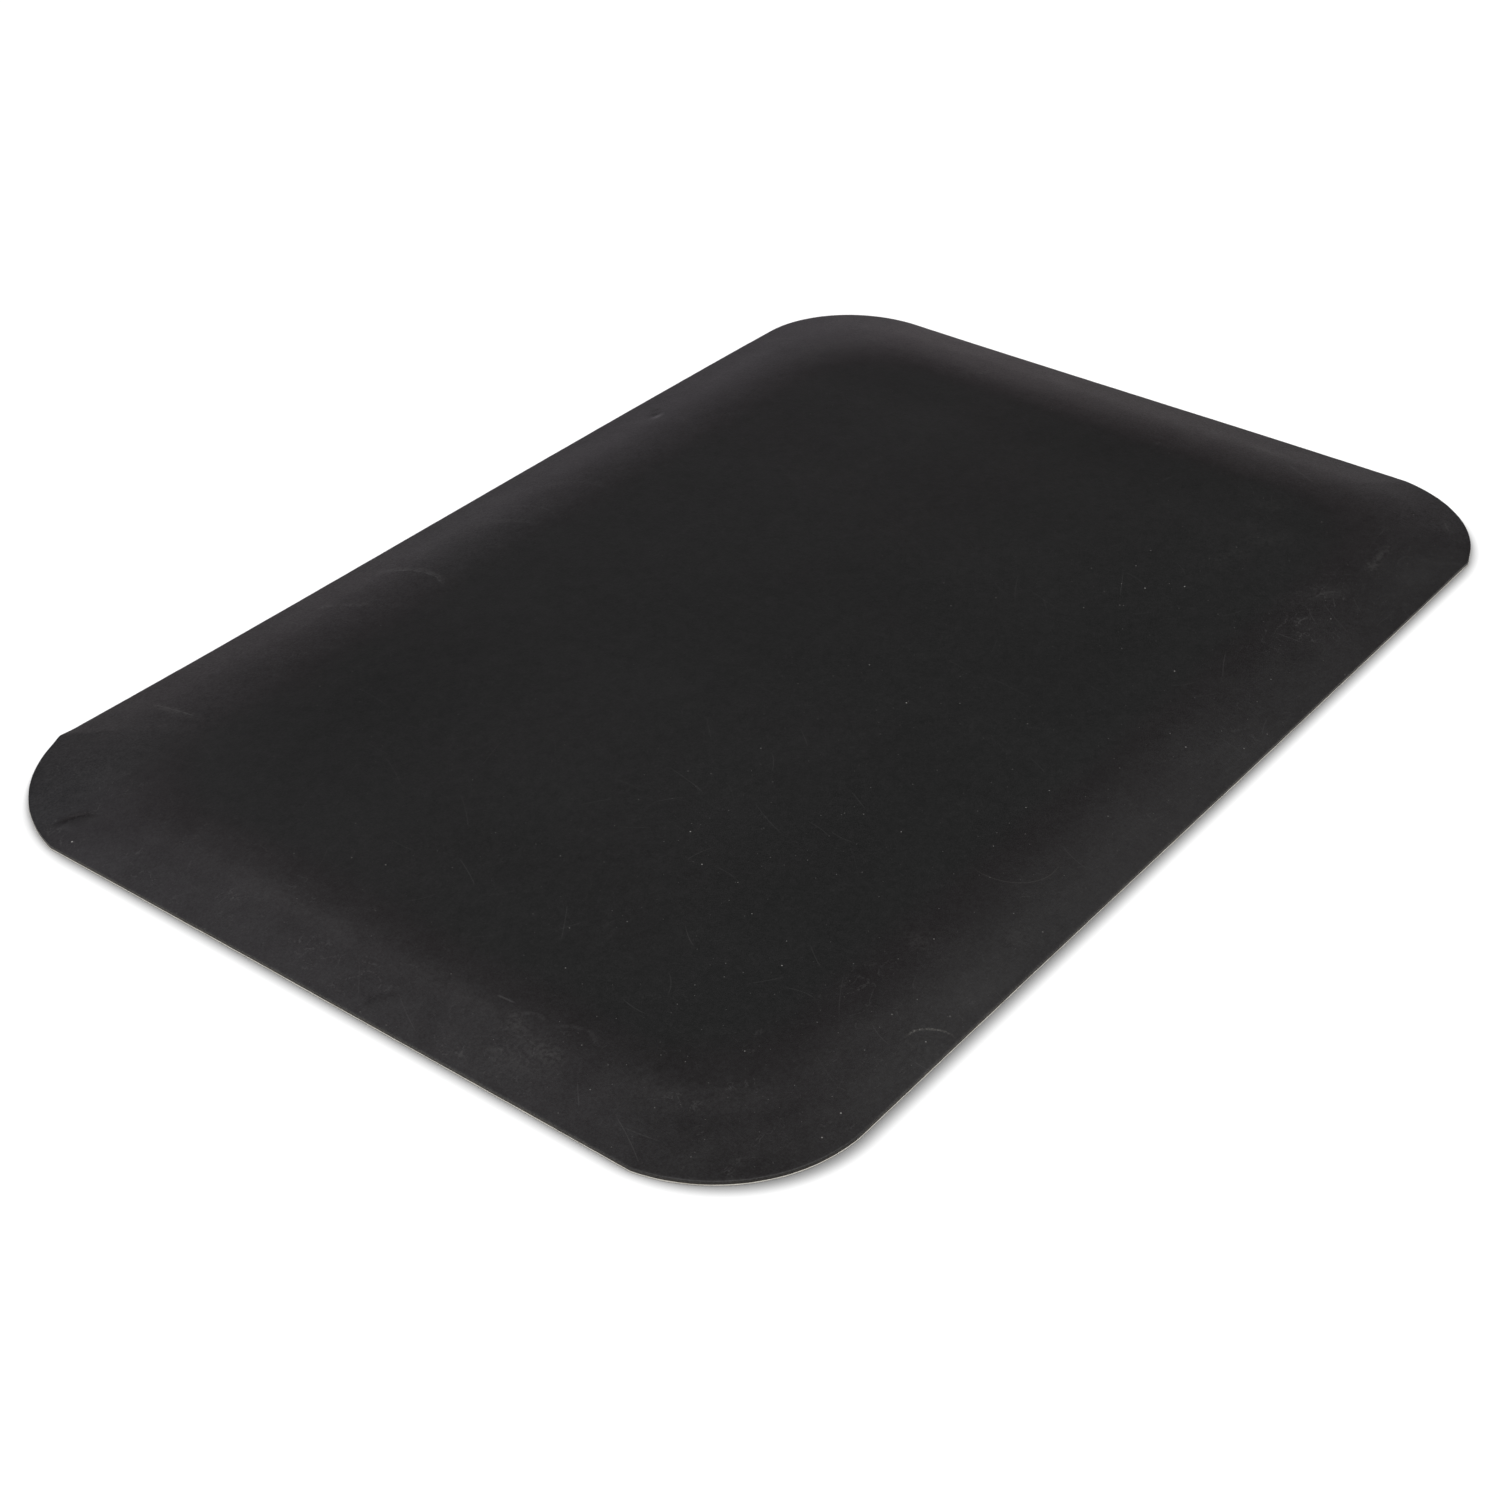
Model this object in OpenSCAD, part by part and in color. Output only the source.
// Anti fatigue floor mat.
// A flexible wear sheet lies over a bevelled foam core, and a thin backing sheet closes the
// underside. Bond films hold the layers together. All the layers lie within one outline.
// Millimetres. Origin: centre of the underside, on the floor. +X along the length, +Z up.

/* [Mat] */
// Length of the mat, along X
mat_length = 914.4; // [610:0.1:1524]
// Width of the mat, along Y
mat_width = 609.6; // [450:0.1:914.4]
// Height of the level standing area above the floor
mat_height = 9.5; // [8:0.1:16]

/* [Layers] */
// Thickness of the wear sheet
sheet_thick = 2; // [1.5:0.1:3]
// Thickness of each bond film
bond_thick = 0.2; // [0.1:0.05:0.3]
// Thickness of the backing sheet
backing_thick = 0.8; // [0.5:0.1:1.2]
// Width of the rim strip, where the wear sheet is bonded straight to the backing sheet
rim_width = 5; // [4:0.5:10]

/* [Border] */
// Width of the sloped border, from the edge to the level standing area
border_width = 80; // [60:1:95]
// Share of the border that is a straight slope, before it rounds over into the level area
straight_share = 0.3; // [0.2:0.05:0.8]
// Corner radius of the level standing area
area_radius = 70; // [55:1:90]

/* [Corners] */
// Reach of the corner cut along X, from the square corner, at +X +Y
reach_x_1 = 85; // [75:0.5:100]
// The same along Y. Reaches equal to the radius blend into the sides; a larger radius leaves
// a slight angle at each end
reach_y_1 = 85; // [75:0.5:100]
// Radius of the cut at +X +Y
cut_radius_1 = 85; // [85:0.5:140]
// Reach along X at -X +Y
reach_x_2 = 81.5; // [75:0.5:100]
// Reach along Y at -X +Y
reach_y_2 = 86.5; // [75:0.5:100]
// Radius at -X +Y
cut_radius_2 = 118; // [90:0.5:140]
// Reach along X at -X -Y
reach_x_3 = 95.5; // [75:0.5:100]
// Reach along Y at -X -Y
reach_y_3 = 78.5; // [75:0.5:100]
// Radius at -X -Y
cut_radius_3 = 99; // [95:0.5:140]
// Reach along X at +X -Y
reach_x_4 = 85.5; // [75:0.5:100]
// Reach along Y at +X -Y
reach_y_4 = 86; // [75:0.5:100]
// Radius at +X -Y
cut_radius_4 = 101.5; // [90:0.5:140]

/* [Detail] */
// Flats along each corner of the draped surfaces
corner_steps = 12; // [6:1:16]
// Flats across the rounded part of the border
crest_steps = 7; // [4:1:9]

/* [Hidden] */

SHEET_COLOR = "#262627";
BOND_COLOR = "#a3967c";
CORE_COLOR = "#1b1b1d";
BACKING_COLOR = "#b9b4a9";

cut_facets = 180;   // facets of a full circle at a corner cut
waste_over = 10;    // overhang of the corner waste beyond the mat's sides
trim_over = 5;      // overhang of the trimming solid above and below the mat
skirt_z = -1;       // underside of the upper bond's rim before trimming
over_share = -0.05; // draped layers start just outside the outline, then are trimmed to it

// Corners, anticlockwise from +X +Y: side of the mat, reach along X and Y, radius of the cut
SIGNS = [[1, 1], [-1, 1], [-1, -1], [1, -1]];
REACHES = [[reach_x_1, reach_y_1], [reach_x_2, reach_y_2],
           [reach_x_3, reach_y_3], [reach_x_4, reach_y_4]];
RADII = [cut_radius_1, cut_radius_2, cut_radius_3, cut_radius_4];

edge_height = backing_thick + bond_thick + sheet_thick;
// Climb over one whole border width at the pitch of the straight slope
full_climb = 2 * (mat_height - edge_height) / (1 + straight_share);

// Shares of the border: 0 at the edge, 1 at the level area
rim_share = rim_width / border_width;
CREST = [for (i = [0:crest_steps]) straight_share + (1 - straight_share) * i / crest_steps];
CORE_SHARES = concat([rim_share], CREST);
SHEET_SHARES = concat([over_share], CREST);

// Stations round the mat: [point on the edge, point on the outline of the level area]
STATIONS = [for (k = [0:3]) for (i = [0:corner_steps])
    [cut_point(k, i / corner_steps), area_point(k, i / corner_steps)]];

// Point in the mat's frame, from its distances back from square corner k
function from_corner(k, back) =
    [SIGNS[k][0] * (mat_length / 2 - back[0]), SIGNS[k][1] * (mat_width / 2 - back[1])];

// Share of corner k's arc from its end on the X side, where u goes 0 to 1 anticlockwise
function arc_share(k, u) = SIGNS[k][0] * SIGNS[k][1] > 0 ? u : 1 - u;

// Centre of corner k's cut, back from the square corner. The circle runs through both ends
function cut_centre(k) =
    let (reach = REACHES[k],
         chord = norm(reach),
         from_chord = sqrt(RADII[k] * RADII[k] - chord * chord / 4))
    [reach[0] / 2 + from_chord * reach[1] / chord,
     reach[1] / 2 + from_chord * reach[0] / chord];

// Point on corner k's cut
function cut_point(k, u) =
    let (centre = cut_centre(k),
         start = atan2(centre[1] - REACHES[k][1], centre[0]),
         end = atan2(centre[1], centre[0] - REACHES[k][0]),
         angle = start + (end - start) * arc_share(k, u))
    from_corner(k, centre - RADII[k] * [cos(angle), sin(angle)]);

// The matching point on the outline of the level area
function area_point(k, u) =
    let (back = border_width + area_radius, angle = 90 * arc_share(k, u))
    from_corner(k, [back, back] - area_radius * [cos(angle), sin(angle)]);

// Height of the mat's top: a straight slope, then a parabola that ends level
function top_z(share) = edge_height + full_climb * (share <= straight_share ? share
    : share - pow(share - straight_share, 2) / (2 * (1 - straight_share)));

// Rings [share, z] of the surface that lies the given depth below the mat's top
function below_top(shares, depth) = [for (share = shares) [share, top_z(share) - depth]];

// Points right round the mat at one share of the border
function loop(share) = [for (s = STATIONS) s[0] + share * (s[1] - s[0])];

// Closed solid between upper and lower rings, each [share, z], outermost first
module draped(upper, lower) {
    count = len(STATIONS);
    rings = concat([for (i = [len(upper) - 1:-1:0]) upper[i]], lower);
    last = len(rings) - 1;
    polyhedron(
        points = [for (r = rings) for (p = loop(r[0])) [p[0], p[1], r[1]]],
        faces = concat(
            [[for (i = [count - 1:-1:0]) i]],
            // Two triangles per station between each ring and the next
            [for (j = [0:last - 1]) for (i = [0:count - 1])
                let (a = j * count + i, b = j * count + (i + 1) % count)
                each [[a, b, a + count], [b, b + count, a + count]]],
            [[for (i = [0:count - 1]) last * count + i]]),
        convexity = 4);
}

// Waste piece at corner k, outside its cut
module corner_waste(k) {
    over = [waste_over, waste_over];
    difference() {
        translate(from_corner(k, (REACHES[k] - over) / 2))
            square(REACHES[k] + over, center = true);
        translate(from_corner(k, cut_centre(k)))
            circle(r = RADII[k], $fn = cut_facets);
    }
}

// Outline of the mat
module outline() {
    difference() {
        square([mat_length, mat_width], center = true);
        for (k = [0:3]) corner_waste(k);
    }
}

// Solid on the outline that trims a draped layer, from height z upward
module trim(z) {
    translate([0, 0, z])
        linear_extrude(height = mat_height + trim_over - z) outline();
}

// Solid vinyl sheet that is walked on, with its cut edge round the mat
module wear_sheet() {
    color(SHEET_COLOR) intersection() {
        draped(below_top(SHEET_SHARES, 0), below_top(SHEET_SHARES, sheet_thick));
        trim(-trim_over);
    }
}

// Adhesive film under the wear sheet. In the rim strip it fills the wedge down to the backing
module upper_bond() {
    color(BOND_COLOR) intersection() {
        draped(
            below_top(concat([over_share], CORE_SHARES), sheet_thick),
            concat(
                [[over_share, skirt_z], [rim_share, skirt_z]],
                below_top(CORE_SHARES, sheet_thick + bond_thick)));
        trim(backing_thick);
    }
}

// Closed cell foam core, skived to a thin edge all round
module cushion_core() {
    color(CORE_COLOR) draped(
        below_top(CORE_SHARES, sheet_thick + bond_thick),
        [[rim_share, backing_thick + bond_thick]]);
}

// Adhesive film under the foam core
module lower_bond() {
    color(BOND_COLOR) translate([0, 0, backing_thick])
        linear_extrude(height = bond_thick) polygon(loop(rim_share));
}

// Thin sheet that closes the underside and lies on the floor
module backing_sheet() {
    color(BACKING_COLOR) linear_extrude(height = backing_thick) outline();
}

wear_sheet();
upper_bond();
cushion_core();
lower_bond();
backing_sheet();
